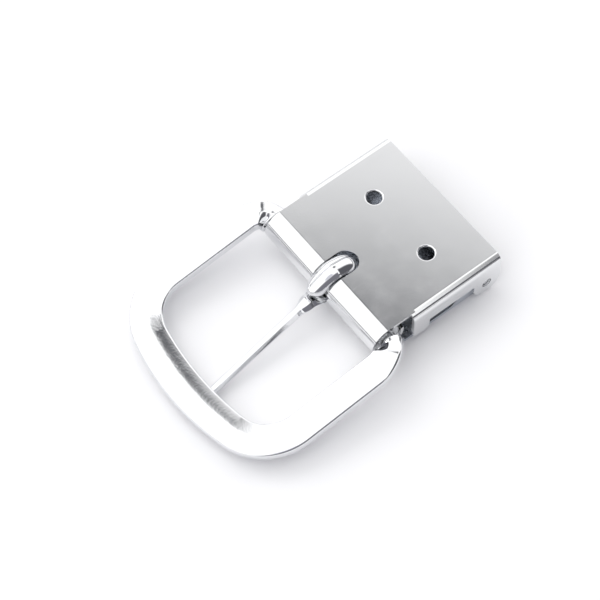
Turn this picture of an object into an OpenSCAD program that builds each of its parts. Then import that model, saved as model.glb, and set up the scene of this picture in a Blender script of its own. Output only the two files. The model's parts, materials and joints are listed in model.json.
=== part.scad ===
// Belt buckle with a curved frame, a loose hook prong and a hinged belt clamp.
// It lies with its back up, as it rests on a table: X runs along the belt,
// from the frame's closed end to the clamp's open end, Y runs across the belt,
// and Z points up. The origin is the middle of the footprint, on the table.

/* [Clamp housing] */
// Width over the two folded side walls
box_w = 37; // [32:0.5:42]
// Length of the walled box, from the neck to the belt's entry
box_l = 22.65; // [21:0.25:30]
// Width of the narrow neck that carries the knuckle
neck_w = 34.8; // [30:0.1:35]
// Length of the neck, from the knuckle's axis to the box
neck_l = 5.75; // [5.7:0.05:8]
// Thickness of the sheet
sheet = 0.7; // [0.6:0.05:0.8]
// Height of the housing, from the table to its flat back
clamp_h = 10; // [9.8:0.1:12]
// Outer radius of the folds between the back and the walls
fold_r = 1.8; // [1:0.1:2]
// Radius of the rounded ear that holds the clamp pin
ear_r = 3.4; // [3:0.1:3.6]
// Depth of the walls along the recess, below the back
wall_depth = 5.04; // [4:0.1:5.6]
// Depth of the short tabs at the front of the walls
tab_depth = 8.1; // [6.5:0.1:8.4]
// Length of the short tabs
tab_l = 4.2; // [3:0.1:6]

/* [Belt screw holes] */
// Distance between the two holes, across the belt
screw_spacing = 16.64; // [12:0.1:24]
// Diameter of each hole
screw_hole_d = 3.3; // [2:0.1:4]
// Distance from the knuckle's axis to the holes
screw_x = 17.12; // [12:0.1:20]

/* [Knuckle and hinge bar] */
// Diameter of the hinge bar inside the knuckle
bar_d = 6.48; // [6:0.02:6.6]
// Diameter of the bar's thinner ends, which sit in the lugs
stub_d = 3.6; // [3:0.1:3.8]
// Radial gap between the bar and the curled sheet
bar_gap = 0.06; // [0.02:0.01:0.1]
// Half width of the slot that the prong's hook works in
slot_half_w = 2.65; // [2.6:0.05:3]
// Distance from the knuckle's axis to the slot's round end
slot_end = 5.8; // [5.7:0.05:6.4]

/* [Frame] */
// Half width of the frame's window
window_half_w = 18.62; // [18.6:0.01:18.8]
// Half width over the frame's arms
frame_half_w = 25.15; // [24:0.05:27]
// Distance from the hinge axis to the far bar's inner edge
window_reach = 33.6; // [31:0.1:36]
// Distance from the hinge axis to the far bar's outer edge
frame_reach = 41.18; // [40.8:0.02:44]
// Half of the frame's thickness
frame_half_t = 1.9; // [1.6:0.05:2.1]
// Half height of the lugs, and their reach behind the hinge axis
lug_r = 2.65; // [2.5:0.05:2.8]
// Distance from the hinge axis to the front of the lugs
lug_front = 3.9; // [3.7:0.1:4.1]
// Height of the frame's mid-plane over the hinge axis
ring_lift = 1.73; // [1.5:0.01:2]

/* [Prong] */
// Width of the prong's flat hook
hook_w = 4.8; // [4:0.1:4.9]
// Thickness of the hook
hook_t = 2.1; // [1.8:0.05:2.2]
// Width of the prong's shaft where it leaves the hook
root_w = 3.5; // [3:0.1:4]
// Width of the prong near its tip
tip_w = 1.8; // [1.5:0.1:2]
// Thickness of the prong at its tip
tip_t = 1.5; // [1.3:0.05:1.6]
// Distance from the hinge axis to the prong's tip
prong_reach = 39; // [37:0.1:39.5]
// Sideways lean of the shaft, which its loose hook allows
prong_lean = 6; // [0:0.5:7]

/* [Clamp flap] */
// Width of the flap between the walls
flap_w = 34.8; // [33:0.1:35]
// Distance from the hinge axis to the flap's free edge
flap_front = 4.6; // [4.4:0.1:7]
// Thickness of the flap's sheet
flap_t = 0.9; // [0.8:0.05:1]
// Diameter of the clamp pin
pin_d = 2.3; // [2:0.1:2.6]
// Space left for the belt between the teeth and the housing
bite_gap = 2.9; // [2.6:0.1:3.4]
// Number of teeth
tooth_count = 18; // [10:1:20]

/* [Hidden] */

round_fn = 64;
eps = 0.01;
part_gap = 0.08;
chrome = [0.82, 0.83, 0.85];
steel = [0.70, 0.71, 0.73];

// Knuckle: the sheet is curled round the hinge bar.
curl_in_r = bar_d / 2 + bar_gap;
curl_out_r = curl_in_r + sheet;
curl_end_angle = 15;
axis_z = clamp_h - curl_out_r;

// The prong's tip touches the table, so the frame leans down towards it.
notch_depth = 0.7;
shaft_h = ring_lift - (frame_half_t - notch_depth + tip_t / 2 + part_gap);
frame_tilt = asin((axis_z + shaft_h - tip_t / 2) / prong_reach);

// Overall length, which sets the origin midway along it.
clamp_reach = neck_l + box_l;
far_edge = frame_reach * cos(frame_tilt) + ring_lift * sin(frame_tilt);
axis_x = (far_edge - clamp_reach) / 2;

pin_x = clamp_reach - ear_r;
pin_z = ear_r;

function mix(a, b, f) = a + (b - a) * f;
function spow(v, e) = sign(v) * pow(abs(v), e);
function steps(n) = [for (i = [0 : n]) i / n];

// Puts children at the hinge axis, level with the clamp.
module at_axis() {
    translate([axis_x, 0, axis_z])
        children();
}

// Puts children at the hinge axis, leaning with the frame.
module with_frame() {
    at_axis()
        rotate([0, -frame_tilt, 0])
            children();
}

// Extrudes a profile drawn in X and Z through a width centred on Y.
module across(width) {
    rotate([90, 0, 0])
        translate([0, 0, -width / 2])
            linear_extrude(width)
                children();
}

// ---- Frame ring ----

corner_out_r = 14;
corner_in_r = 7.5;
bow_out_r = 58.5;
bow_in_r = 68;
arm_end_out = 7.4;
arm_end_in = 5.4;
lug_face = 18.2;
lug_squareness = 1.65;
bar_depth = 1;
bar_end_gap = 1.2;
section_points = 16;
arm_roundness = 0.72;

// A rim is half of one outline: the bowed far bar, a corner and a straight arm.
// rim = [half width, corner radius, bow radius, reach]
outer_rim = [frame_half_w, corner_out_r, bow_out_r, frame_reach];
inner_rim = [window_half_w, corner_in_r, bow_in_r, window_reach];

function turn(rim) = asin((rim[0] - rim[1]) / (rim[2] - rim[1]));
function bow_centre(rim) = rim[3] - rim[2];
function corner_x(rim) = bow_centre(rim) + (rim[2] - rim[1]) * cos(turn(rim));

function on_bow(rim, f) = [
    bow_centre(rim) + rim[2] * cos(f * turn(rim)),
    rim[2] * sin(f * turn(rim))
];
function on_corner(rim, f) = let (a = mix(turn(rim), 90, f)) [
    corner_x(rim) + rim[1] * cos(a),
    rim[0] - rim[1] + rim[1] * sin(a)
];
function on_arm(rim, end, f) = [mix(corner_x(rim), end, f), rim[0]];

// The near corner is a squared-off quarter ellipse from the arm to the lug.
function on_shoulder(f) = [
    arm_end_out - (arm_end_out + lug_r) * pow(sin(90 * f), 2 / lug_squareness),
    lug_face + (frame_half_w - lug_face) * pow(cos(90 * f), 2 / lug_squareness)
];
function on_armpit(f) = [mix(arm_end_in, lug_front, f), mix(window_half_w, lug_face, f)];

// How far the section has turned from the arm's into the round lug's.
function barrel_share(f) = let (g = min(f / 0.8, 1)) g * g * (3 - 2 * g);

// A station is [inner point, outer point, half thickness, roundness, height over the axis].
function half_ring() = concat(
    [for (f = steps(8))
        [on_bow(inner_rim, f), on_bow(outer_rim, f), frame_half_t, arm_roundness, ring_lift]],
    [for (f = steps(12)) if (f > 0)
        [on_corner(inner_rim, f), on_corner(outer_rim, f), frame_half_t, arm_roundness, ring_lift]],
    [for (f = steps(6)) if (f > 0)
        [on_arm(inner_rim, arm_end_in, f), on_arm(outer_rim, arm_end_out, f),
         frame_half_t, arm_roundness, ring_lift]],
    [for (f = steps(12)) if (f > 0)
        let (b = barrel_share(f))
            [on_armpit(f), on_shoulder(f),
             mix(frame_half_t, lug_r, b), mix(arm_roundness, 1, b), mix(ring_lift, 0, b)]]
);

function mirrored(s) = [[s[0][0], -s[0][1]], [s[1][0], -s[1][1]], s[2], s[3], s[4]];

function section(s) = [
    for (k = [0 : section_points - 1])
        let (a = 360 * k / section_points,
             p = mix(s[0], s[1], 0.5 + 0.5 * spow(cos(a), s[3])))
            [-p[0], p[1], s[4] + s[2] * spow(sin(a), s[3])]
];

module ring_body() {
    half = half_ring();
    last = len(half) - 1;
    stations = concat(
        [for (i = [last : -1 : 1]) mirrored(half[i])],
        half
    );
    m = section_points;
    n = len(stations);
    points = [for (s = stations) each section(s)];
    sides = [
        for (i = [0 : n - 2], k = [0 : m - 1])
            let (j = (k + 1) % m)
                [i * m + k, (i + 1) * m + k, (i + 1) * m + j, i * m + j]
    ];
    start_cap = [for (k = [0 : m - 1]) k];
    end_cap = [for (k = [m - 1 : -1 : 0]) (n - 1) * m + k];
    polyhedron(points, concat([start_cap], sides, [end_cap]));
}

// Turns children sideways by the shaft's lean, about a point under the hook.
module leaning() {
    translate([lean_x, 0, 0])
        rotate([0, 0, prong_lean])
            translate([-lean_x, 0, 0])
                children();
}

// The far bar's front has a shallow notch where the prong's tip lies.
notch_play = 0.35;
notch_over = 1;

module tip_notch() {
    notch_w = tip_w + 2 * notch_play;
    leaning()
        translate([-frame_reach - notch_over, -notch_w / 2, ring_lift - frame_half_t - notch_over])
            cube([frame_reach - window_reach + 3 * notch_over, notch_w, notch_over + notch_depth]);
}

module frame_ring() {
    color(chrome)
        with_frame()
            difference() {
                ring_body();
                bar_ends();
                tip_notch();
            }
}

// ---- Hinge bar ----

// The bar's thin core, whose two ends are pressed into the lugs.
module bar_ends() {
    across(2 * (lug_face + bar_depth))
        circle(d = stub_d, $fn = round_fn);
}

module hinge_bar() {
    color(steel)
        at_axis()
            union() {
                across(2 * (lug_face - bar_end_gap))
                    circle(d = bar_d, $fn = round_fn);
                bar_ends();
            }
}

// ---- Prong ----

hook_r = bar_d / 2 + part_gap + hook_t / 2;
loop_start = -135;
loop_end = 98;
knee = [-5, -1.35];
crown = [-2.9, 3.83];
nose = [-5.33, 2.54];
root_x = -7.2;
root_share = 0.95;
root_end = -5.6;
taper_x = -9.9;
taper_extra = 0.2;
lean_x = -3.4;
tip_flat = 0.6;
bend_steps = 32;

// Points of the hook's centre line: down from the shaft, under the bar, round the back and over it.
hook_line = concat(
    [[root_x, shaft_h], knee],
    [for (f = steps(bend_steps))
        let (a = mix(loop_start, loop_end, f))
            [hook_r * cos(a), hook_r * sin(a)]],
    [crown, nose]
);

// Unit normal of a line at point i, from its neighbours.
function normal_at(line, i) =
    let (a = line[max(i - 1, 0)],
         b = line[min(i + 1, len(line) - 1)],
         d = (b - a) / norm(b - a))
        [-d[1], d[0]];

function thick_line(line, t) = concat(
    [for (i = [0 : len(line) - 1]) line[i] + normal_at(line, i) * t / 2],
    [for (i = [len(line) - 1 : -1 : 0]) line[i] - normal_at(line, i) * t / 2]
);

// Seen from above, the hook's corners are cut at its rear bend, to suit the slot, and at its nose.
corner_run = 1.6;
corner_cut = 1.4;

module hook_plan() {
    rear = hook_r + hook_t / 2;
    front = nose[0] - hook_t / 2;
    side = hook_w / 2;
    translate([0, 0, -clamp_h])
        linear_extrude(2 * clamp_h)
            polygon([
                [rear, corner_cut - side],
                [rear, side - corner_cut],
                [rear - corner_run, side],
                [front + corner_run, side],
                [front, side - corner_cut],
                [front, corner_cut - side],
                [front + corner_run, -side],
                [rear - corner_run, -side]
            ]);
}

module hook() {
    intersection() {
        across(hook_w + 1)
            union() {
                polygon(thick_line(hook_line, hook_t));
                translate(nose)
                    circle(d = hook_t, $fn = round_fn);
            }
        hook_plan();
    }
}

module shaft() {
    root_t = hook_t * root_share;
    taper_w = tip_w + taper_extra;
    intersection() {
        across(4 * hook_w)
            polygon([
                [root_end, shaft_h - root_t / 2],
                [root_end, shaft_h + root_t / 2],
                [-prong_reach + tip_t / 2, shaft_h + tip_t / 2],
                [-prong_reach, shaft_h],
                [-prong_reach, shaft_h - tip_t / 2]
            ]);
        translate([0, 0, -2 * hook_t])
            leaning()
                linear_extrude(4 * hook_t)
                    polygon([
                        [root_end + 0.5, root_w / 2],
                        [root_x, root_w / 2],
                        [taper_x, taper_w / 2],
                        [-prong_reach + tip_w / 2, tip_w / 2],
                        [-prong_reach - 1, tip_flat / 2],
                        [-prong_reach - 1, -tip_flat / 2],
                        [-prong_reach + tip_w / 2, -tip_w / 2],
                        [taper_x, -taper_w / 2],
                        [root_x, -root_w / 2],
                        [root_end + 0.5, -root_w / 2]
                    ]);
    }
}

module prong() {
    color(chrome)
        with_frame()
            union() {
                hook();
                shaft();
            }
}

// ---- Clamp housing ----

// Rectangle standing on y = 0 whose two top corners are round.
module round_top(width, height, r) {
    union() {
        translate([-width / 2, 0])
            square([width, height - r]);
        translate([-width / 2 + r, 0])
            square([width - 2 * r, height]);
        for (side = [-1, 1])
            translate([side * (width / 2 - r), height - r])
                circle(r = r, $fn = round_fn);
    }
}

// Side view of a wall, from the neck's end, with the table at y = 0.
module wall_outline() {
    tab_bottom = clamp_h - tab_depth;
    tab_r = 1;
    union() {
        translate([neck_l, clamp_h - wall_depth])
            square([box_l, wall_depth]);
        translate([neck_l, tab_bottom + tab_r])
            square([tab_l, tab_depth - tab_r]);
        translate([neck_l + tab_r, tab_bottom])
            square([tab_l - 2 * tab_r, tab_depth]);
        for (x = [neck_l + tab_r, neck_l + tab_l - tab_r])
            translate([x, tab_bottom + tab_r])
                circle(r = tab_r, $fn = round_fn);
        translate([pin_x, pin_z])
            circle(r = ear_r, $fn = round_fn);
        translate([pin_x - ear_r, pin_z])
            square([2 * ear_r, clamp_h - pin_z]);
    }
}

module box() {
    intersection() {
        rotate([90, 0, 90])
            linear_extrude(clamp_reach)
                difference() {
                    round_top(box_w, clamp_h, fold_r);
                    translate([0, -eps])
                        round_top(box_w - 2 * sheet, clamp_h - sheet + eps, fold_r - sheet);
                }
        across(box_w + 2)
            wall_outline();
    }
}

// Side view of the neck and its curl, with the hinge axis at the origin.
module knuckle_outline() {
    union() {
        difference() {
            circle(r = curl_out_r, $fn = round_fn);
            circle(r = curl_in_r, $fn = round_fn);
            polygon([
                [0, 0],
                [2 * curl_out_r * cos(curl_end_angle), 2 * curl_out_r * sin(curl_end_angle)],
                [2 * curl_out_r, 2 * curl_out_r],
                [0, 2 * curl_out_r]
            ]);
        }
        translate([0, curl_in_r])
            square([neck_l + 1, sheet]);
    }
}

module prong_slot() {
    slot_x = slot_end - slot_half_w;
    translate([0, 0, -clamp_h])
        linear_extrude(2 * clamp_h)
            union() {
                translate([-2 * curl_out_r, -slot_half_w])
                    square([2 * curl_out_r + slot_x, 2 * slot_half_w]);
                translate([slot_x, 0])
                    circle(r = slot_half_w, $fn = round_fn);
            }
}

module clamp_housing() {
    color(chrome)
        difference() {
            union() {
                translate([axis_x, 0, 0])
                    box();
                at_axis()
                    across(neck_w)
                        knuckle_outline();
            }
            at_axis()
                prong_slot();
            for (side = [-1, 1])
                translate([axis_x + screw_x, side * screw_spacing / 2, clamp_h - 2 * sheet])
                    cylinder(d = screw_hole_d, h = 3 * sheet, $fn = round_fn);
            translate([axis_x + pin_x, 0, pin_z])
                across(box_w + 2)
                    circle(d = pin_d, $fn = round_fn);
        }
}

// ---- Clamp flap ----

flap_pin_gap = 0.05;
cheek_inset = 0.4;
cheek_r = ear_r - cheek_inset;
cheek_shoulder = 1.4;
lip_x = clamp_reach - 2 * ear_r;
lip_top = clamp_h - sheet - bite_gap;
tooth_h = 0.9;
cheek_slope_l = 6;
cheek_front = lip_x - cheek_slope_l;

// Side view of a cheek: round at the pin, falling to the base plate in front.
module cheek_outline() {
    union() {
        translate([pin_x, pin_z])
            circle(r = cheek_r, $fn = round_fn);
        translate([lip_x - 1, 0])
            square([pin_x - lip_x + 1, pin_z]);
        polygon([
            [cheek_front, 0],
            [pin_x, 0],
            [pin_x, pin_z + cheek_r],
            [lip_x, lip_top - cheek_shoulder]
        ]);
    }
}

module teeth() {
    inner_w = flap_w - 2 * flap_t;
    pitch = inner_w / tooth_count;
    translate([lip_x, 0, lip_top - tooth_h])
        rotate([90, 0, 90])
            linear_extrude(flap_t)
                for (i = [0 : tooth_count - 1])
                    translate([-inner_w / 2 + (i + 0.5) * pitch, 0])
                        polygon([[-pitch / 2, -eps], [0, tooth_h], [pitch / 2, -eps]]);
}

module clamp_flap() {
    inner_w = flap_w - 2 * flap_t;
    color(steel)
        translate([axis_x, 0, 0])
            difference() {
                union() {
                    translate([flap_front, -flap_w / 2, 0])
                        cube([lip_x - flap_front + flap_t, flap_w, flap_t]);
                    translate([lip_x, -inner_w / 2, 0])
                        cube([flap_t, inner_w, lip_top - tooth_h]);
                    teeth();
                    for (side = [-1, 1])
                        translate([0, side * (flap_w - flap_t) / 2, 0])
                            across(flap_t)
                                cheek_outline();
                }
                translate([pin_x, 0, pin_z])
                    across(box_w)
                        circle(d = pin_d + 2 * flap_pin_gap, $fn = round_fn);
            }
}

// ---- Clamp pin ----

pin_recess = 0.45;

module flap_pin() {
    color(steel)
        translate([axis_x + pin_x, 0, pin_z])
            across(box_w - 2 * pin_recess)
                circle(d = pin_d, $fn = round_fn);
}

frame_ring();
hinge_bar();
prong();
clamp_housing();
clamp_flap();
flap_pin();
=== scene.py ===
"""Belt buckle with a hinged belt clamp, lying with its back up on a pale table."""
import json
import math

import bmesh
import bpy
from mathutils import Matrix, Vector


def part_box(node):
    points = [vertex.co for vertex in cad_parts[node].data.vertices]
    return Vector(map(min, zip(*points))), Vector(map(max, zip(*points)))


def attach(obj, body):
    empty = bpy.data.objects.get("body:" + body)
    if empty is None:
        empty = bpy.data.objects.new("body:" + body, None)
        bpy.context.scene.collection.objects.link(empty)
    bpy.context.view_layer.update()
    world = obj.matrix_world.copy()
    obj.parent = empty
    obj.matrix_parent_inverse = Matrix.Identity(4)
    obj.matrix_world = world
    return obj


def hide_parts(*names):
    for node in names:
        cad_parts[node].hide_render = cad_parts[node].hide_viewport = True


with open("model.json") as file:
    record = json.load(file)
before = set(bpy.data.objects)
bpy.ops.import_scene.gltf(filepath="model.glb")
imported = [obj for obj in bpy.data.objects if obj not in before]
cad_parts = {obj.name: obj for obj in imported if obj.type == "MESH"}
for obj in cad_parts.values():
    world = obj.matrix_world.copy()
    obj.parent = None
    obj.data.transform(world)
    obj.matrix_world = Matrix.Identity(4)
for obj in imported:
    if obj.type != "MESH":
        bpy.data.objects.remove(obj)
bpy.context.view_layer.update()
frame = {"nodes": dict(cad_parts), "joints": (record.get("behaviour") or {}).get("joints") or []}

MM = 0.001

# ---------------------------------------------------------------- places from the frame

joints = {joint["name"]: joint for joint in frame["joints"]}
HINGE = Vector(joints["frame_swing"]["pos_m"])
CLAMP_PIN = Vector(joints["flap_swing"]["pos_m"])
BACK_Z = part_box("clamp_housing")[1].z

ring_low, ring_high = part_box("frame_ring")
FRAME_HALF_W = ring_high.y / MM
bar_low, bar_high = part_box("hinge_bar")
BAR_R = (bar_high.z - bar_low.z) / 2 / MM
BAR_HALF_L = bar_high.y / MM
pin_low, pin_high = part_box("flap_pin")
PIN_R = (pin_high.z - pin_low.z) / 2 / MM
PIN_HALF_L = pin_high.y / MM

# ---------------------------------------------------------------- sizes, in millimetres
# In the frame's plane, s runs from the hinge axis towards the far bar, y across, and h up.

FRAME_HALF_T = 1.9
WINDOW_HALF_W = 18.62
WINDOW_REACH = 33.6
CORNER_OUT_R = 14.0
CORNER_IN_R = 7.5
BOW_OUT_R = 58.5
BOW_IN_R = 68.0
ARM_END_OUT = 7.4
ARM_END_IN = 5.4
LUG_R = 2.65
LUG_FRONT = 3.9
LUG_FACE = 18.2
LUG_SQUARENESS = 1.65
RING_LIFT = 1.73
NOTCH_DEPTH = 0.7

HINGE_TO_SCREWS = 17.12
SCREW_X = HINGE.x / MM + HINGE_TO_SCREWS

PRONG_REACH = 39.0
PRONG_LEAN = math.radians(6.0)
LEAN_S = 3.4
TIP_T = 1.5
TIP_W = 1.8
HOOK_T = 2.1
HOOK_W = 4.8
ROOT_T = 0.95 * HOOK_T
ROOT_W = 3.5

PART_GAP = 0.08
SHAFT_H = RING_LIFT - (FRAME_HALF_T - NOTCH_DEPTH + TIP_T / 2 + PART_GAP)
TILT = math.asin((HINGE.z / MM + SHAFT_H - TIP_T / 2) / PRONG_REACH)
FRAME_REACH = ((HINGE.x - ring_low.x) / MM - RING_LIFT * math.sin(TILT)) / math.cos(TILT)

STUB_R = 1.8
BAR_END_GAP = 1.2
BAR_BODY_HALF_L = LUG_FACE - BAR_END_GAP
BAR_STEP_GAP = 0.01


def mix(a, b, f):
    return a + (b - a) * f


def ease(f):
    f = min(max(f, 0.0), 1.0)
    return f * f * (3 - 2 * f)


def steps(count, skip_first=False):
    return [i / count for i in range(1 if skip_first else 0, count + 1)]


def from_frame_plane(s, y, h):
    """A point s mm from the hinge axis along the leaning frame and h mm over the axis, in metres."""
    x = -s * math.cos(TILT) - h * math.sin(TILT)
    z = -s * math.sin(TILT) + h * math.cos(TILT)
    return HINGE + Vector((x, y, z)) * MM


# ---------------------------------------------------------------- mesh helpers

LEAST_CUT = 0.45
MOST_CUT_SHARE = 0.45
STRAIGHT = 1e-3


def fillet_polygon(corners, radii, count):
    """A closed outline with a rounded corner of `count` points at each vertex.

    A nearly straight corner still spreads its points, so that none of them coincide.
    """
    outline = []
    total = len(corners)
    for i, corner in enumerate(corners):
        here = Vector(corner)
        before = Vector(corners[i - 1]) - here
        after = Vector(corners[(i + 1) % total]) - here
        room = MOST_CUT_SHARE * min(before.length, after.length)
        u, v = before.normalized(), after.normalized()
        half = math.acos(max(-1.0, min(1.0, u.dot(v)))) / 2
        cut = min(max(radii[i] / math.tan(half), LEAST_CUT), room)
        radius = cut * math.tan(half)
        start = here + u * cut
        end = here + v * cut
        middle = u + v
        if middle.length < STRAIGHT:
            outline += [start.lerp(end, k / (count - 1)) for k in range(count)]
            continue
        centre = here + middle.normalized() * (radius / math.sin(half))
        a0 = math.atan2(start.y - centre.y, start.x - centre.x)
        a1 = math.atan2(end.y - centre.y, end.x - centre.x)
        turn = (a1 - a0 + math.pi) % (2 * math.pi) - math.pi
        for k in range(count):
            a = a0 + turn * k / (count - 1)
            outline.append(centre + radius * Vector((math.cos(a), math.sin(a))))
    return outline


def mesh_object(name, points, faces):
    mesh = bpy.data.meshes.new(name)
    mesh.from_pydata([tuple(p) for p in points], [], faces)
    mesh.validate()
    mesh.update()
    piece = bpy.data.objects.new(name, mesh)
    bpy.context.scene.collection.objects.link(piece)
    return piece


def reshape(piece, change):
    """Run `change` on the piece's mesh while it is open as a bmesh."""
    shape = bmesh.new()
    shape.from_mesh(piece.data)
    change(shape)
    shape.to_mesh(piece.data)
    shape.free()


def turn_normals_out(shape):
    bmesh.ops.recalc_face_normals(shape, faces=shape.faces)


def loft(name, rings):
    """Quads between closed rings of equal length, closed by a face at each end."""
    count = len(rings[0])
    points = [p for ring in rings for p in ring]
    faces = [tuple(reversed(range(count)))]
    for i in range(len(rings) - 1):
        for k in range(count):
            j = (k + 1) % count
            a, b = i * count, (i + 1) * count
            faces.append((a + k, a + j, b + j, b + k))
    last = (len(rings) - 1) * count
    faces.append(tuple(range(last, last + count)))
    piece = mesh_object(name, points, faces)
    reshape(piece, turn_normals_out)
    return piece


def apply_modifiers(piece):
    depsgraph = bpy.context.evaluated_depsgraph_get()
    mesh = bpy.data.meshes.new_from_object(piece.evaluated_get(depsgraph))
    piece.modifiers.clear()
    piece.data = mesh


def smooth(piece, degrees):
    """Smooth shading in which the flats stay flat and the fillets between them carry the turn."""
    with bpy.context.temp_override(object=piece, active_object=piece,
                                   selected_editable_objects=[piece], selected_objects=[piece]):
        bpy.ops.object.shade_smooth_by_angle(angle=math.radians(degrees))
    normals = piece.modifiers.new("normals", "WEIGHTED_NORMAL")
    normals.keep_sharp = True
    normals.weight = 100
    apply_modifiers(piece)


# ---------------------------------------------------------------- sheet pieces

WELD = 0.0005
FLAT_ANGLE = math.radians(0.3)
SHARP_ANGLE = math.radians(35)
EDGE_SEGMENTS = 3
WIDE_SEGMENTS = 5
HOUSING_EDGE = 0.07
FLAP_EDGE = 0.08
SCREW_RIM = 0.35
SCREW_ZONE_X = 2.0
SCREW_ZONE_NEAR_Y = 6.0
SCREW_ZONE_FAR_Y = 10.5
ON_BACK = 0.01


def weld(shape):
    """Join points that coincide, which also removes faces of no area."""
    bmesh.ops.remove_doubles(shape, verts=shape.verts, dist=WELD * MM)


def is_sharp(line):
    return len(line.link_faces) == 2 and line.calc_face_angle(0.0) > SHARP_ANGLE


def softened_copy(name, node, edge, wide_rim=None, wide_edge=0.0):
    """A copy of a CAD node's mesh whose sharp edges have a small radius.

    Edges for which `wide_rim` is true get the larger radius `wide_edge`.
    """
    piece = bpy.data.objects.new(name, frame["nodes"][node].data.copy())
    bpy.context.scene.collection.objects.link(piece)
    piece.data.materials.clear()

    def prepare(shape):
        weld(shape)
        bmesh.ops.dissolve_limit(shape, angle_limit=FLAT_ANGLE, verts=shape.verts, edges=shape.edges)
        if wide_rim:
            rim = [line for line in shape.edges
                   if is_sharp(line) and wide_rim(line.verts[0].co, line.verts[1].co)]
            bmesh.ops.bevel(shape, geom=rim, offset=wide_edge * MM, segments=WIDE_SEGMENTS, profile=0.5,
                            affect="EDGES", clamp_overlap=False)

    reshape(piece, prepare)
    bevel = piece.modifiers.new("edges", "BEVEL")
    bevel.width = edge * MM
    bevel.segments = EDGE_SEGMENTS
    bevel.limit_method = "ANGLE"
    bevel.angle_limit = SHARP_ANGLE
    bevel.use_clamp_overlap = True
    bevel.harden_normals = False
    apply_modifiers(piece)
    # A bevel that runs out of room leaves faces of no area.
    reshape(piece, weld)
    smooth(piece, degrees=40)
    return piece


def on_back(a, b):
    return abs(a.z - BACK_Z) < ON_BACK * MM and abs(b.z - BACK_Z) < ON_BACK * MM


def round_screw_hole(a, b):
    """Whether the edge from a to b is on the back, at the rim of a screw hole."""
    middle = (a + b) / 2
    near_x = abs(middle.x - SCREW_X * MM) < SCREW_ZONE_X * MM
    return on_back(a, b) and near_x and SCREW_ZONE_NEAR_Y * MM < abs(middle.y) < SCREW_ZONE_FAR_Y * MM


def build_housing():
    return softened_copy("clamp_housing_sheet", "clamp_housing", HOUSING_EDGE, round_screw_hole, SCREW_RIM)


def build_flap():
    return softened_copy("clamp_flap_sheet", "clamp_flap", FLAP_EDGE)


# ---------------------------------------------------------------- frame ring
# A rim is (half width, corner radius, bow radius, reach), for the outer and the inner edge.

OUTER_RIM = (FRAME_HALF_W, CORNER_OUT_R, BOW_OUT_R, FRAME_REACH)
INNER_RIM = (WINDOW_HALF_W, CORNER_IN_R, BOW_IN_R, WINDOW_REACH)


def rim_turn(rim):
    half_w, corner_r, bow_r, _ = rim
    return math.asin((half_w - corner_r) / (bow_r - corner_r))


def corner_s(rim):
    _, corner_r, bow_r, reach = rim
    return reach - bow_r + (bow_r - corner_r) * math.cos(rim_turn(rim))


def on_bow(rim, f):
    _, _, bow_r, reach = rim
    a = f * rim_turn(rim)
    return Vector((reach - bow_r + bow_r * math.cos(a), bow_r * math.sin(a)))


def on_corner(rim, f):
    half_w, corner_r, _, _ = rim
    a = mix(rim_turn(rim), math.pi / 2, f)
    return Vector((corner_s(rim) + corner_r * math.cos(a), half_w - corner_r + corner_r * math.sin(a)))


def on_arm(rim, end, f):
    return Vector((mix(corner_s(rim), end, f), rim[0]))


def on_shoulder(f):
    a = math.pi / 2 * f
    power = 2 / LUG_SQUARENESS
    return Vector((ARM_END_OUT - (ARM_END_OUT + LUG_R) * math.sin(a) ** power,
                   LUG_FACE + (FRAME_HALF_W - LUG_FACE) * max(math.cos(a), 0.0) ** power))


def on_armpit(f):
    return Vector((mix(ARM_END_IN, LUG_FRONT, f), mix(WINDOW_HALF_W, LUG_FACE, f)))


POINTS_PER_CORNER = 7
RIDGE = 0.56
RIDGE_R = 16.0
TOP = 1.45
INNER_BEVEL = math.radians(7.0)
OUTER_BEVEL = math.radians(7.0)
OUTER_INSET = 0.18
INNER_EDGE_H = -0.95
OUTER_EDGE_H = -0.4
BELLY = ((0.80, -1.75), (0.50, -FRAME_HALF_T), (0.20, -1.8))
PROFILE_RADII = (0.9, 0.45, RIDGE_R, 0.6, 0.9, 1.6, 3.0, 1.6)


def bar_profile(width, bevel_share):
    """The frame's section: x from the inner rim outwards, y up towards the back.

    The back is flat along the arms. Round the far bar it has two bevels that meet in a low ridge.
    """
    inner_drop = RIDGE * width * math.tan(INNER_BEVEL) * bevel_share
    outer_drop = (1 - RIDGE) * width * math.tan(OUTER_BEVEL) * bevel_share
    corners = [
        (0.0, INNER_EDGE_H),
        (0.0, TOP - inner_drop),
        (RIDGE * width, TOP),
        (width - OUTER_INSET, TOP - outer_drop),
        (width, OUTER_EDGE_H),
    ]
    corners += [(share * width, h) for share, h in BELLY]
    return fillet_polygon(corners, PROFILE_RADII, POINTS_PER_CORNER)


TEMPLATE_HALF_W = 3.25


def lug_profile(width):
    """Oval section with as many points as bar_profile, starting at the same corner."""
    outline = []
    for p in bar_profile(2 * TEMPLATE_HALF_W, 0.0):
        a = math.atan2(p.y / FRAME_HALF_T, (p.x - TEMPLATE_HALF_W) / TEMPLATE_HALF_W)
        outline.append(Vector((width / 2 + width / 2 * math.cos(a), LUG_R * math.sin(a))))
    return outline


NOTCH_SIDE_GAP = 0.3
NOTCH_HALF_W = TIP_W / 2 + NOTCH_SIDE_GAP
NOTCH_START = WINDOW_REACH - 3
NOTCH_EDGE = 0.35
NOTCH_FADE = 0.5


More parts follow.
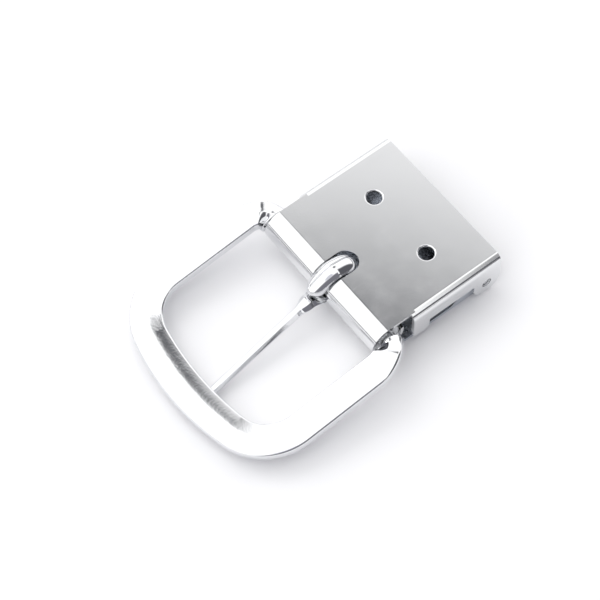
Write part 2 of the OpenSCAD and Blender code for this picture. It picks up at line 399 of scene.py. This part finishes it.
def ring_station(inner, outer, lug_share, bevel_share):
    """The section between two rim points, lifted to its height and notched under the prong's tip."""
    width = (outer - inner).length
    across = (outer - inner) / width
    ring = []
    for flat, oval in zip(bar_profile(width, bevel_share), lug_profile(width)):
        p = flat.lerp(oval, lug_share)
        place = inner + across * p.x
        height = p.y
        if place.x > NOTCH_START and height < 0:
            notch_y = -(place.x - LEAN_S) * math.tan(PRONG_LEAN)
            depth = ease((NOTCH_HALF_W + NOTCH_EDGE - abs(place.y - notch_y)) / NOTCH_FADE)
            height = mix(p.y, max(p.y, NOTCH_DEPTH - FRAME_HALF_T), depth)
        ring.append((place.x, place.y, height + RING_LIFT * (1 - lug_share)))
    return ring


BOW_STEPS = 70
CORNER_STEPS = 44
ARM_STEPS = 20
LUG_STEPS = 48
BEVEL_FADE_FROM = 0.25
BEVEL_FADE = 0.65
LUG_FROM = 0.5
LUG_RUN = 0.4


def ring_stations():
    """Half of the ring, from the middle of the far bar to the lug: (inner, outer, lug, bevel)."""
    stations = []
    for f in steps(BOW_STEPS):
        stations.append((on_bow(INNER_RIM, f), on_bow(OUTER_RIM, f), 0.0, 1.0))
    for f in steps(CORNER_STEPS, True):
        bevel_share = 1 - ease((f - BEVEL_FADE_FROM) / BEVEL_FADE)
        stations.append((on_corner(INNER_RIM, f), on_corner(OUTER_RIM, f), 0.0, bevel_share))
    for f in steps(ARM_STEPS, True):
        stations.append((on_arm(INNER_RIM, ARM_END_IN, f), on_arm(OUTER_RIM, ARM_END_OUT, f), 0.0, 0.0))
    for f in steps(LUG_STEPS, True):
        stations.append((on_armpit(f), on_shoulder(f), ease((f - LUG_FROM) / LUG_RUN), 0.0))
    return stations


def build_frame():
    stations = ring_stations()
    half = [ring_station(*station) for station in stations]
    mirrored = []
    for inner, outer, *shares in reversed(stations[1:]):
        mirrored.append(ring_station(Vector((inner.x, -inner.y)), Vector((outer.x, -outer.y)), *shares))
    rings = [[from_frame_plane(*p) for p in ring] for ring in mirrored + half]
    piece = loft("frame_ring_body", rings)
    smooth(piece, degrees=50)
    return piece


# ---------------------------------------------------------------- prong
# x is measured from the hinge axis along the frame's plane, and is negative towards the tip.

HOOK_R = BAR_R + PART_GAP + HOOK_T / 2
LOOP_START = math.radians(-135)
LOOP_END = math.radians(98)
ROOT_X = -7.2
TAPER_X = -9.9
ROOT_RUN = Vector((1.4, 0))
LOOP_IN_RUN = 1.3
LOOP_OUT_RUN = 2.0
NOSE = Vector((-5.33, 2.54))
NOSE_RUN = Vector((-0.883, -0.469))
NOSE_IN_RUN = 2.0

REAR_BULGE = 0.55
REAR_BULGE_AT = math.radians(30)
REAR_BULGE_REACH = math.radians(42)

SHAFT_STEPS = 60
SHAFT_CROWDING = 1.5
ROOT_STEPS = 22
LOOP_STEPS = 80
NOSE_STEPS = 30


def on_loop(a):
    bulge = REAR_BULGE * ease(1 - abs(a - REAR_BULGE_AT) / REAR_BULGE_REACH)
    return (HOOK_R + bulge) * Vector((math.cos(a), math.sin(a)))


def along_loop(a):
    return Vector((-math.sin(a), math.cos(a)))


def curve(start, start_run, end_run, end, f):
    """A point on the smooth curve that leaves `start` along one run and reaches `end` along the other."""
    g = 1 - f
    return (g ** 3 * start + 3 * g * g * f * (start + start_run)
            + 3 * g * f * f * (end - end_run) + f ** 3 * end)


def prong_line():
    """Centre line of the prong from tip to nose: (x, h, share).

    The share is 0 on the shaft, rises to 1 where the hook starts, and goes on to 2 at the nose.
    """
    root = Vector((ROOT_X, SHAFT_H))
    line = []
    for f in steps(SHAFT_STEPS):
        line.append((mix(-PRONG_REACH, ROOT_X, f ** SHAFT_CROWDING), SHAFT_H, 0.0))
    for f in steps(ROOT_STEPS, True):
        p = curve(root, ROOT_RUN, LOOP_IN_RUN * along_loop(LOOP_START), on_loop(LOOP_START), f)
        line.append((p.x, p.y, ease(f)))
    for f in steps(LOOP_STEPS, True):
        p = on_loop(mix(LOOP_START, LOOP_END, f))
        line.append((p.x, p.y, 1.0))
    for f in steps(NOSE_STEPS, True):
        p = curve(on_loop(LOOP_END), LOOP_OUT_RUN * along_loop(LOOP_END), NOSE_IN_RUN * NOSE_RUN,
                  NOSE + NOSE_RUN, f)
        line.append((p.x, p.y, 1.0 + f))
    return line


GROOVE_AT = 0.22
GROOVE_W = 0.05
GROOVE_DEPTH = 0.26
HALF_COUNT = 14
EVEN_ACROSS = [math.sin(math.pi / 2 * (i / HALF_COUNT - 1)) for i in range(2 * HALF_COUNT + 1)]
GROOVE_ACROSS = [GROOVE_AT + i * GROOVE_W / 2 for i in (-3, -2, -1, 1, 2, 3)]
ACROSS = sorted(EVEN_ACROSS + GROOVE_ACROSS)

SHAFT_FLAT = 0.35
STEEPEST = 0.98
HOOK_EDGE = 0.75
HOOK_ARCH = 1.75
UNDER_HALF_COUNT = 10
UNDER_W = 0.998
UNDER_EDGE = 0.8
UNDER_SQUARENESS = 6
CHAMFER_EDGE = 0.2
CHAMFER_W = 0.5


def outer_face(u, w, t, hook_share, groove_share):
    """Height of the prong's outer face at u, which runs from -1 to 1 across it."""
    hook = t * (HOOK_EDGE - HOOK_ARCH * math.sqrt(max(1 - u * u, 0.0)))
    hook += groove_share * GROOVE_DEPTH * math.exp(-((u - GROOVE_AT) / GROOVE_W) ** 2)
    past_flat = max(abs(u) - SHAFT_FLAT, 0.0) / (1 - SHAFT_FLAT)
    shaft = -t + w * (1 - SHAFT_FLAT) * (1 - math.sqrt(1 - min(past_flat, STEEPEST) ** 2))
    return mix(shaft, hook, hook_share)


def inner_face(u, t, hook_share):
    """Height of the prong's inner face at u: chamfered on the shaft, flat on the hook."""
    rounding = math.sqrt(max(1 - abs(u) ** UNDER_SQUARENESS, 0.0))
    hook = t * (UNDER_EDGE + (1 - UNDER_EDGE) * rounding)
    shaft = t * (CHAMFER_EDGE + (1 - CHAMFER_EDGE) * min((1 - abs(u)) / CHAMFER_W, 1.0))
    return mix(shaft, hook, hook_share)


def prong_profile(width, thick, hook_share, groove_share):
    """Section of the prong: x across, y towards the hook's inside, outer face first.

    The shaft has a flat outer face between two rounded sides. The hook is half an ellipse with a
    fine forging line.
    """
    w, t = width / 2, thick / 2
    outline = [Vector((w * u, outer_face(u, w, t, hook_share, groove_share))) for u in ACROSS]
    under = [i / UNDER_HALF_COUNT - 1 for i in range(2 * UNDER_HALF_COUNT + 1)]
    outline += [Vector((w * u * UNDER_W, inner_face(u, t, hook_share))) for u in reversed(under)]
    return outline


SHAFT_WIDENING = 0.2
NOSE_TAPER = 0.86
NOSE_ROUND = 0.45
NOSE_BLUNTNESS = 2.4
NOSE_THINNING = 0.7
LEAST_NOSE_W = 0.10
LEAST_NOSE_T = 0.12
TIP_ROUND = 1.2
LEAST_TIP_W = 0.15
LEAST_TIP_T = 0.3


def nose_size(f):
    """Width and thickness f of the way along the nose, whose end is rounded off."""
    width = HOOK_W * mix(1.0, NOSE_TAPER, f)
    thick = HOOK_T
    past = f - (1 - NOSE_ROUND)
    if past > 0:
        shrink = math.sqrt(max(1 - (past / NOSE_ROUND) ** NOSE_BLUNTNESS, 0.0))
        width *= max(shrink, LEAST_NOSE_W)
        thick *= max(shrink ** NOSE_THINNING, LEAST_NOSE_T)
    return width, thick


def shaft_size(x):
    """Width and thickness of the shaft at x, whose tip is rounded off."""
    from_tip = x + PRONG_REACH
    width = mix(TIP_W, TIP_W + SHAFT_WIDENING, min(from_tip / (PRONG_REACH + TAPER_X), 1.0))
    width = mix(width, ROOT_W, ease((x - TAPER_X) / (ROOT_X - TAPER_X)))
    thick = mix(TIP_T, ROOT_T, from_tip / (PRONG_REACH + ROOT_X))
    if from_tip < TIP_ROUND:
        shrink = math.sqrt(max(1 - (1 - from_tip / TIP_ROUND) ** 2, 0.0))
        width *= max(shrink, LEAST_TIP_W)
        thick *= max(shrink, LEAST_TIP_T)
    return width, thick


def prong_size(x, share):
    if share == 0.0:
        return shaft_size(x)
    if share <= 1.0:
        return mix(ROOT_W, HOOK_W, share), mix(ROOT_T, HOOK_T, share)
    return nose_size(share - 1.0)


GROOVE_FROM_H = 1.0
GROOVE_RISE = 1.5
GROOVE_END = 1.6
GROOVE_FADE = 0.3


def groove_share_at(h, share):
    """The forging line shows over the bar and fades out before the nose."""
    return ease((h - GROOVE_FROM_H) / GROOVE_RISE) * (1 - ease((share - GROOVE_END) / GROOVE_FADE))


def build_prong():
    line = prong_line()
    rings = []
    for i, (x, h, share) in enumerate(line):
        x0, h0, _ = line[max(i - 1, 0)]
        x1, h1, _ = line[min(i + 1, len(line) - 1)]
        along = Vector((x1 - x0, h1 - h0)).normalized()
        inward = Vector((-along.y, along.x))
        width, thick = prong_size(x, share)
        y0 = math.tan(PRONG_LEAN) * min(x + LEAN_S, 0.0) if h < 0 else 0.0
        ring = []
        for p in prong_profile(width, thick, min(share, 1.0), groove_share_at(h, share)):
            px = x + inward.x * p.y
            ph = h + inward.y * p.y
            ring.append(from_frame_plane(-px, y0 + p.x, ph))
        rings.append(ring)
    piece = loft("prong_body", rings)
    smooth(piece, degrees=30)
    return piece


# ---------------------------------------------------------------- pins

END_DOME = 0.04
POINTS_AROUND = 64
STUB_CHAMFER = 0.25
BAR_CHAMFER = 0.3
PIN_CHAMFER = 0.2


def pin_end(radius, half_length, chamfer):
    """Half outline of a chamfered, slightly domed end: (radius, distance from the middle)."""
    return [(radius - 2.5 * chamfer, half_length),
            (radius - chamfer, half_length - END_DOME),
            (radius - 0.3 * chamfer, half_length - 0.4 * chamfer),
            (radius, half_length - chamfer)]


def build_turned(name, centre, half_outline):
    """A turned pin along Y, the same at both ends."""
    outline = [(r, -y) for r, y in half_outline] + [(r, y) for r, y in reversed(half_outline)]
    rings = []
    for r, y in outline:
        rings.append([centre + Vector((r * math.cos(a), y, r * math.sin(a))) * MM
                      for a in (2 * math.pi * k / POINTS_AROUND for k in range(POINTS_AROUND))])
    piece = loft(name, rings)
    smooth(piece, degrees=35)
    return piece


def build_hinge_bar():
    """The thick middle of the bar, stepped down at both ends to the stubs in the lugs."""
    outline = pin_end(STUB_R, BAR_HALF_L, STUB_CHAMFER)
    outline += [(STUB_R, BAR_BODY_HALF_L + BAR_STEP_GAP)]
    outline += pin_end(BAR_R, BAR_BODY_HALF_L, BAR_CHAMFER)
    return build_turned("hinge_bar_pin", HINGE, outline)


def build_flap_pin():
    return build_turned("flap_pin_rivet", CLAMP_PIN, pin_end(PIN_R, PIN_HALF_L, PIN_CHAMFER))


# ---------------------------------------------------------------- materials

class Nodes:
    """Short names for building a material's node tree."""

    def __init__(self, name):
        self.material = bpy.data.materials.new(name)
        self.material.use_nodes = True
        self.tree = self.material.node_tree
        self.shader = self.tree.nodes["Principled BSDF"]

    def add(self, kind, **values):
        node = self.tree.nodes.new(kind)
        for key, value in values.items():
            if hasattr(node, key):
                setattr(node, key, value)
            else:
                node.inputs[key.replace("_", " ")].default_value = value
        return node

    def link(self, source, output, target, socket):
        self.tree.links.new(source.outputs[output], target.inputs[socket])

    def noise(self, place, output, scale, detail, roughness):
        node = self.add("ShaderNodeTexNoise", Scale=scale, Detail=detail, Roughness=roughness)
        self.link(place, output, node, "Vector")
        return node

    def map_range(self, source, low, high, to_low=0.0, to_high=1.0):
        node = self.add("ShaderNodeMapRange", From_Min=low, From_Max=high, To_Min=to_low, To_Max=to_high)
        self.link(source, "Fac", node, "Value")
        return node


WAVE_HEIGHT = 0.10 * MM
GRAIN_HEIGHT = 0.010 * MM
SMUDGE_MM = 6.0
SMUDGE_TINT = 0.95
SMUDGE_ROUGHNESS = (0.6, 1.7)
HAIR_STRETCH = (40, 900, 400)
HAIR_TURN = (0, 0, 0.35)


def add_bumps(n, place, wave_mm, wave_strength, grain_mm, grain_strength):
    """Soft waves from the metal under the plating, with a fine grain on them."""
    waves = n.noise(place, "Object", 1 / (wave_mm * MM), detail=2.0, roughness=0.45)
    grain = n.noise(place, "Object", 1 / (grain_mm * MM), detail=3.0, roughness=0.6)
    wave_bump = n.add("ShaderNodeBump", Strength=wave_strength, Distance=WAVE_HEIGHT)
    n.link(waves, "Fac", wave_bump, "Height")
    grain_bump = n.add("ShaderNodeBump", Strength=grain_strength, Distance=GRAIN_HEIGHT)
    n.link(grain, "Fac", grain_bump, "Height")
    n.link(wave_bump, "Normal", grain_bump, "Normal")
    n.link(grain_bump, "Normal", n.shader, "Normal")


def add_roughness(n, place, smudge, rough, scratch):
    """Roughness that varies with the smudges and rises along hairline scratches."""
    hair_place = n.add("ShaderNodeMapping")
    hair_place.inputs["Scale"].default_value = HAIR_STRETCH
    hair_place.inputs["Rotation"].default_value = HAIR_TURN
    n.link(place, "Object", hair_place, "Vector")
    hair = n.noise(hair_place, "Vector", 3.0, detail=2.0, roughness=0.5)
    hair_cut = n.map_range(hair, low=0.66, high=0.74)
    least, most = SMUDGE_ROUGHNESS
    smudge_rough = n.map_range(smudge, low=0.3, high=0.75, to_low=rough * least, to_high=rough * most)
    total = n.add("ShaderNodeMath", operation="MULTIPLY_ADD")
    total.inputs[1].default_value = scratch * rough * 2
    n.link(hair_cut, "Result", total, 0)
    n.link(smudge_rough, "Result", total, 2)
    n.link(total, "Value", n.shader, "Roughness")


def plated(name, tint, rough, wave_mm, wave_strength, grain_strength, grain_mm=0.22, scratch=0.25):
    """Bright plating: soft waves from the metal under it, fine grain, hairline scratches and smudges."""
    n = Nodes(name)
    place = n.add("ShaderNodeTexCoord")
    add_bumps(n, place, wave_mm, wave_strength, grain_mm, grain_strength)
    smudge = n.noise(place, "Object", 1 / (SMUDGE_MM * MM), detail=4.0, roughness=0.62)
    add_roughness(n, place, smudge, rough, scratch)
    colour = n.add("ShaderNodeMix", data_type="RGBA")
    colour.inputs[6].default_value = (*[c * SMUDGE_TINT for c in tint], 1)
    colour.inputs[7].default_value = (*tint, 1)
    n.link(smudge, "Fac", colour, 0)
    n.tree.links.new(colour.outputs[2], n.shader.inputs["Base Color"])
    n.shader.inputs["Metallic"].default_value = 1.0
    return n.material


CHROME = (0.83, 0.835, 0.85)
HOUSING_CHROME = (0.82, 0.825, 0.835)
# The flap's tint is darker and bluer than the other chrome. This is painted shade for the flap deep inside
# the clamp, where it shows in the gap by the lug and through the screw holes.
FLAP_SHADED_CHROME = (0.70, 0.73, 0.78)
STEEL = (0.66, 0.67, 0.68)

frame_finish = plated("frame_chrome", CHROME, rough=0.06, wave_mm=3.2, wave_strength=0.10,
                      grain_strength=0.9, grain_mm=0.5)
prong_finish = plated("prong_chrome", CHROME, rough=0.04, wave_mm=3.0, wave_strength=0.05,
                      grain_strength=0.10)
housing_finish = plated("housing_chrome", HOUSING_CHROME, rough=0.09, wave_mm=9.0, wave_strength=0.05,
                        grain_strength=0.12)
flap_finish = plated("flap_chrome", FLAP_SHADED_CHROME, rough=0.20, wave_mm=5.0, wave_strength=0.10,
                     grain_strength=0.25)
pin_finish = plated("pin_steel", STEEL, rough=0.22, wave_mm=1.5, wave_strength=0.15,
                    grain_strength=0.4)

# ---------------------------------------------------------------- pieces


def place_piece(piece, body, node, finish):
    piece.data.materials.clear()
    piece.data.materials.append(finish)
    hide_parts(node)
    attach(piece, body)


place_piece(build_frame(), "frame", "frame_ring", frame_finish)
place_piece(build_hinge_bar(), "frame", "hinge_bar", pin_finish)
place_piece(build_prong(), "prong", "prong", prong_finish)
place_piece(build_housing(), "clamp", "clamp_housing", housing_finish)
place_piece(build_flap(), "flap", "clamp_flap", flap_finish)
place_piece(build_flap_pin(), "clamp", "flap_pin", pin_finish)

# ---------------------------------------------------------------- table

TABLE_HALF = 3.0
TABLE_DROP = 0.00005
TABLE_WHITE = (0.97, 0.97, 0.985, 1)


def build_table():
    corners = [(x * TABLE_HALF, y * TABLE_HALF, 0) for x, y in ((-1, -1), (1, -1), (1, 1), (-1, 1))]
    mesh = bpy.data.meshes.new("table")
    mesh.from_pydata(corners, [], [(0, 1, 2, 3)])
    table = bpy.data.objects.new("table", mesh)
    bpy.context.scene.collection.objects.link(table)
    table.location.z = -TABLE_DROP
    n = Nodes("table_paper")
    n.shader.inputs["Base Color"].default_value = TABLE_WHITE
    n.shader.inputs["Roughness"].default_value = 0.9
    n.shader.inputs["Specular IOR Level"].default_value = 0.1
    table.data.materials.append(n.material)


# ---------------------------------------------------------------- light

SKY_STRENGTH = 1.35
SKY_WHITE = (1.0, 1.0, 1.0, 1)


def direction(azimuth, elevation):
    """Unit vector towards a place in the sky, from angles in degrees."""
    a, e = math.radians(azimuth), math.radians(elevation)
    return Vector((math.cos(e) * math.cos(a), math.cos(e) * math.sin(a), math.sin(e)))


class Sky:
    """The world's node tree, with short names for masks over the sky's directions."""

    def __init__(self, name):
        world = bpy.data.worlds.new(name)
        bpy.context.scene.world = world
        world.use_nodes = True
        self.tree = world.node_tree
        self.tree.nodes.clear()
        self.look = self.tree.nodes.new("ShaderNodeTexCoord").outputs["Generated"]
        parts = self.tree.nodes.new("ShaderNodeSeparateXYZ")
        self.tree.links.new(self.look, parts.inputs[0])
        self.x = parts.outputs["X"]
        self.y = parts.outputs["Y"]
        self.z = parts.outputs["Z"]
        white = self.tree.nodes.new("ShaderNodeRGB")
        white.outputs[0].default_value = SKY_WHITE
        self.colour = white.outputs[0]

    def away_from(self, azimuth, elevation):
        """Angle in radians between the looked-up direction and this one."""
        dot = self.tree.nodes.new("ShaderNodeVectorMath")
        dot.operation = "DOT_PRODUCT"
        self.tree.links.new(self.look, dot.inputs[0])
        dot.inputs[1].default_value = direction(azimuth, elevation)
        angle = self.tree.nodes.new("ShaderNodeMath")
        angle.operation = "ARCCOSINE"
        self.tree.links.new(dot.outputs["Value"], angle.inputs[0])
        return angle.outputs[0]

    def ramp(self, source, start, end, first=0.0, last=1.0, soft=True):
        node = self.tree.nodes.new("ShaderNodeMapRange")
        node.interpolation_type = "SMOOTHSTEP" if soft else "LINEAR"
        node.inputs["From Min"].default_value = start
        node.inputs["From Max"].default_value = end
        node.inputs["To Min"].default_value = first
        node.inputs["To Max"].default_value = last
        self.tree.links.new(source, node.inputs["Value"])
        return node.outputs["Result"]

    def rising(self, source, start, end):
        return self.ramp(source, start, end, 0.0, 1.0)

    def falling(self, source, start, end):
        return self.ramp(source, start, end, 1.0, 0.0)

    def spot(self, azimuth, elevation, core, edge):
        """A round mask that is 1 within `core` degrees of a place and 0 past `edge` degrees."""
        return self.falling(self.away_from(azimuth, elevation), math.radians(core), math.radians(edge))

    def product(self, *masks):
        total = masks[0]
        for mask in masks[1:]:
            node = self.tree.nodes.new("ShaderNodeMath")
            node.operation = "MULTIPLY"
            self.tree.links.new(total, node.inputs[0])
            self.tree.links.new(mask, node.inputs[1])
            total = node.outputs[0]
        return total

    def darken(self, mask, colour):
        """Lay a colour over the sky where the mask is 1."""
        blend = self.tree.nodes.new("ShaderNodeMix")
        blend.data_type = "RGBA"
        self.tree.links.new(mask, blend.inputs[0])
        self.tree.links.new(self.colour, blend.inputs[6])
        blend.inputs[7].default_value = (*colour, 1)
        self.colour = blend.outputs[2]

    def finish(self, strength):
        background = self.tree.nodes.new("ShaderNodeBackground")
        background.inputs["Strength"].default_value = strength
        self.tree.links.new(self.colour, background.inputs["Color"])
        output = self.tree.nodes.new("ShaderNodeOutputWorld")
        self.tree.links.new(background.outputs[0], output.inputs[0])


ROOF_AT = (51, 68)
ROOF_CORE = math.radians(6.0)
ROOF_MIDDLE = math.radians(11.0)
ROOF_EDGE = math.radians(17.0)
ROOF_CORE_SHARE = 0.94
ROOF_MIDDLE_SHARE = 0.27

ROOF_TONE = (0.045, 0.047, 0.055)
REAR_TONE = (0.09, 0.09, 0.10)
SIDE_TONE = (0.10, 0.10, 0.11)
LEFT_TONE = (0.16, 0.16, 0.18)
CAMERA_TONE = (0.55, 0.55, 0.60)
SEAM_TONE = (0.12, 0.12, 0.13)


def roof_gap(sky):
    """The overhead gap that the clamp's back and the far bar's inner bevel reflect."""
    away = sky.away_from(*ROOF_AT)
    inner = sky.ramp(away, ROOF_CORE, ROOF_MIDDLE, ROOF_CORE_SHARE, ROOF_MIDDLE_SHARE, soft=False)
    outer = sky.falling(away, ROOF_MIDDLE, ROOF_EDGE)
    return sky.product(inner, outer, sky.rising(sky.x, 0.18, 0.26), sky.rising(sky.y, 0.04, 0.24))


def rear_gap(sky):
    """The gap that the rear right of the hook reflects."""
    return sky.product(sky.rising(sky.x, 0.33, 0.40), sky.falling(sky.y, -0.30, -0.06))


def side_gap(sky):
    """The gap that the clamp's long fold reflects."""
    return sky.spot(-72, 22, core=8, edge=14)


def camera_gap(sky):
    """The grey spot where the camera looks in through the tent."""
    return sky.spot(231.5, 61, core=8, edge=16)


def left_gap(sky):
    """The gap that the hook's side and the root of the shaft reflect."""
    return sky.product(sky.falling(sky.y, -0.62, -0.42), sky.falling(sky.x, 0.24, 0.31))


def horizon_seam(sky):
    """The dark line where the tent meets the table, which the lower shaft reflects."""
    return sky.product(sky.rising(sky.z, -0.02, 0.0), sky.falling(sky.z, 0.05, 0.09))


def build_sky():
    """A white light tent with dark gaps, as a studio has.

    They lie overhead, to the rear, at two sides, where the camera looks in, and along the horizon.
    A later gap covers an earlier one where they meet.
    """
    sky = Sky("studio")
    sky.darken(roof_gap(sky), ROOF_TONE)
    sky.darken(rear_gap(sky), REAR_TONE)
    sky.darken(side_gap(sky), SIDE_TONE)
    sky.darken(left_gap(sky), LEFT_TONE)
    sky.darken(camera_gap(sky), CAMERA_TONE)
    sky.darken(horizon_seam(sky), SEAM_TONE)
    sky.finish(SKY_STRENGTH)


LAMP_AT = (100, 48)
LAMP_DISTANCE = 0.7


def build_lamp():
    lamp = bpy.data.lights.new("key", "AREA")
    lamp.shape = "DISK"
    lamp.size = 0.35
    lamp.energy = 0.6
    lamp.color = (1.0, 0.99, 0.97)
    key = bpy.data.objects.new("key", lamp)
    bpy.context.scene.collection.objects.link(key)
    toward = direction(*LAMP_AT)
    key.location = toward * LAMP_DISTANCE
    key.rotation_euler = toward.to_track_quat("Z", "Y").to_euler()


# ---------------------------------------------------------------- camera

CAMERA_AZIMUTH = math.radians(-38.441)
CAMERA_ELEVATION = math.radians(60.701)
CAMERA_ROLL = math.radians(0.393)
CAMERA_DISTANCE = 0.45
CAMERA_LENS = 136.21
AIM_BEFORE_HINGE = 9.58
AIM_ASIDE = 1.29


def build_camera():
    """The camera's direction, distance and lens, as solved from the clamp's edges and holes."""
    level = Vector((math.cos(CAMERA_AZIMUTH), math.sin(CAMERA_AZIMUTH), 0))
    back = Vector((math.sin(CAMERA_AZIMUTH) * math.cos(CAMERA_ELEVATION),
                   -math.cos(CAMERA_AZIMUTH) * math.cos(CAMERA_ELEVATION),
                   math.sin(CAMERA_ELEVATION)))
    upright = back.cross(level)
    right = math.cos(CAMERA_ROLL) * level + math.sin(CAMERA_ROLL) * upright
    up = math.cos(CAMERA_ROLL) * upright - math.sin(CAMERA_ROLL) * level
    aim = Vector((HINGE.x - AIM_BEFORE_HINGE * MM, -AIM_ASIDE * MM, BACK_Z))
    camera = bpy.data.cameras.new("camera")
    camera.sensor_width = 36
    camera.lens = CAMERA_LENS
    camera.clip_start = 0.01
    view = bpy.data.objects.new("camera", camera)
    bpy.context.scene.collection.objects.link(view)
    turn = Matrix((right, up, back)).transposed().to_4x4()
    view.matrix_world = Matrix.Translation(aim + back * CAMERA_DISTANCE) @ turn
    bpy.context.scene.camera = view


build_table()
build_sky()
build_lamp()
build_camera()
bpy.context.scene.view_settings.view_transform = "Standard"
